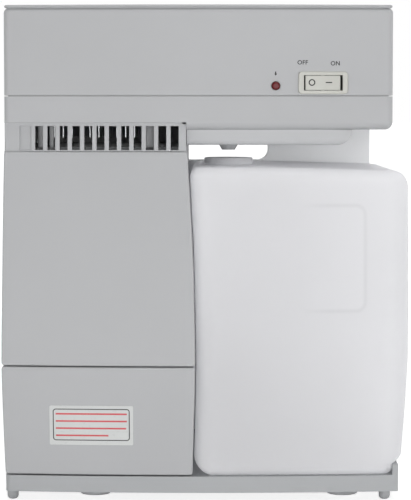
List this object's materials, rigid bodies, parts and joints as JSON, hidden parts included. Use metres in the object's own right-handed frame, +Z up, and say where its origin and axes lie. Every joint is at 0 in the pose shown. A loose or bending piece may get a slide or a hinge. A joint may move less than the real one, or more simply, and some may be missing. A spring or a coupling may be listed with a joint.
{
  "type": "countertop water distiller",
  "caption": "Boxy countertop water distiller: a lidded head with vents and a rocker switch over a column with pull-out raw water tank and boiling tray, and a slide-in translucent storage tank.",
  "frame": {"origin": "on the floor under the middle of the whole object's box", "axes": "+X to the right as seen from the front, +Y to the back, +Z up; the switch and tanks face -Y"},
  "size_m": [0.2709, 0.24, 0.3309],
  "materials": {
    "grey_plastic": "fine satin moulded ABS",
    "light_plastic": "fine satin moulded ABS",
    "white_plastic": "satin moulded ABS",
    "dark_plastic": "matt moulded nylon",
    "frosted_tank": "frosted translucent polypropylene",
    "cream_plastic": "satin moulded plastic",
    "lamp_red": "tinted clear lens",
    "sticker_white": "smooth printed film",
    "stainless": "stainless sheet and tube",
    "fin_metal": "thin aluminium sheet",
    "motor_steel": "passivated steel can",
    "brass_metal": "bare brass",
    "screw_steel": "zinc plated",
    "silicone": "translucent silicone",
    "black_rubber": "matt rubber",
    "board_green": "solder masked laminate",
    "charcoal": "granular carbon in a mesh bag"
  },
  "bodies": {
    "housing": {"base": "grey_plastic", "bottom_cover": "grey_plastic", "corner_feet": "black_rubber", "pad_feet": "black_rubber", "housing_screws": "screw_steel", "column_shell": "grey_plastic", "back_panel": "white_plastic", "rear_cover": "grey_plastic", "head_chassis": "grey_plastic", "head_cover": "grey_plastic", "lid_plate": "grey_plastic", "drip_cover": "light_plastic", "drip_nozzle": "light_plastic", "feed_socket": "white_plastic", "feed_tube": "silicone", "feed_solenoid": "motor_steel", "heater_socket": "dark_plastic", "steam_hood": "stainless", "hood_gasket": "silicone", "steam_pipe": "stainless", "steam_coupling": "silicone", "condenser_tube": "stainless", "condenser_fins": "fin_metal", "condenser_clamp": "light_plastic", "thermostat": "motor_steel", "fan_frame": "dark_plastic", "fan_motor": "motor_steel", "switch_bezel": "cream_plastic", "switch_body": "dark_plastic", "switch_terminals": "brass_metal", "refill_lamp": "lamp_red", "control_board": "board_green", "board_components": "dark_plastic", "inlet_socket": "dark_plastic", "inlet_pins": "brass_metal", "inlet_screws": "screw_steel", "wiring_harness": "dark_plastic"},
    "raw_tank": {"raw_tank": "frosted_tank", "raw_tank_front": "grey_plastic", "valve_body": "white_plastic", "valve_spider": "white_plastic", "valve_spring": "stainless"},
    "raw_tank_cap": {"raw_tank_cap": "dark_plastic", "raw_cap_seal": "silicone"},
    "valve_plunger": {"valve_plunger": "brass_metal"},
    "solenoid_pin": {"solenoid_pin": "stainless"},
    "boiling_tray": {"tray_front": "grey_plastic", "label": "sticker_white", "tray_tub": "dark_plastic", "boiling_pan": "stainless", "heater": "stainless", "heater_plug": "dark_plastic", "heater_prongs": "brass_metal"},
    "storage_tank": {"storage_tank": "frosted_tank", "filter_cup": "white_plastic", "filter_carbon": "charcoal"},
    "storage_cap": {"storage_cap": "light_plastic"},
    "rocker": {"switch_rocker": "cream_plastic"},
    "fan": {"fan_rotor": "dark_plastic", "fan_shaft": "stainless"}
  },
  "joints": [
    {"name": "raw_tank_slide", "type": "slide", "parent": "housing", "child": "raw_tank", "axis": [0, -1, 0], "range_m": [0, 0.2]},
    {"name": "raw_cap_twist", "type": "hinge", "parent": "raw_tank", "child": "raw_tank_cap", "pos_m": [-0.0734, -0.05, 0.2165], "axis": [0, 0, 1], "range_deg": [0, 90]},
    {"name": "solenoid_stroke", "type": "slide", "parent": "housing", "child": "solenoid_pin", "axis": [0, -1, 0], "range_m": [0, 0.003], "stiffness_N_per_m": 60, "springref_m": -0.002},
    {"name": "valve_stroke", "type": "slide", "parent": "raw_tank", "child": "valve_plunger", "axis": [0, -1, 0], "range_m": [0, 0.003], "stiffness_N_per_m": 300, "springref_m": -0.002, "deforming": ["valve_spring"]},
    {"name": "boiling_tray_slide", "type": "slide", "parent": "housing", "child": "boiling_tray", "axis": [0, -1, 0], "range_m": [0, 0.17]},
    {"name": "storage_tank_slide", "type": "slide", "parent": "housing", "child": "storage_tank", "axis": [0, -1, 0], "range_m": [0, 0.22]},
    {"name": "storage_cap_twist", "type": "hinge", "parent": "storage_tank", "child": "storage_cap", "pos_m": [0.016, -0.03, 0.224], "axis": [0, 0, 1], "range_deg": [0, 90]},
    {"name": "rocker_tilt", "type": "hinge", "parent": "housing", "child": "rocker", "pos_m": [0.07767, -0.10045, 0.27935], "axis": [0, 0, 1], "range_deg": [0, 12]},
    {"name": "fan_spin", "type": "hinge", "parent": "housing", "child": "fan", "pos_m": [-0.0734, -0.046, 0.284], "axis": [0, 0, 1], "continuous": true}
  ],
  "couplings": [
    {"joint": "valve_stroke", "follows": "solenoid_stroke", "ratio": 1}
  ]
}
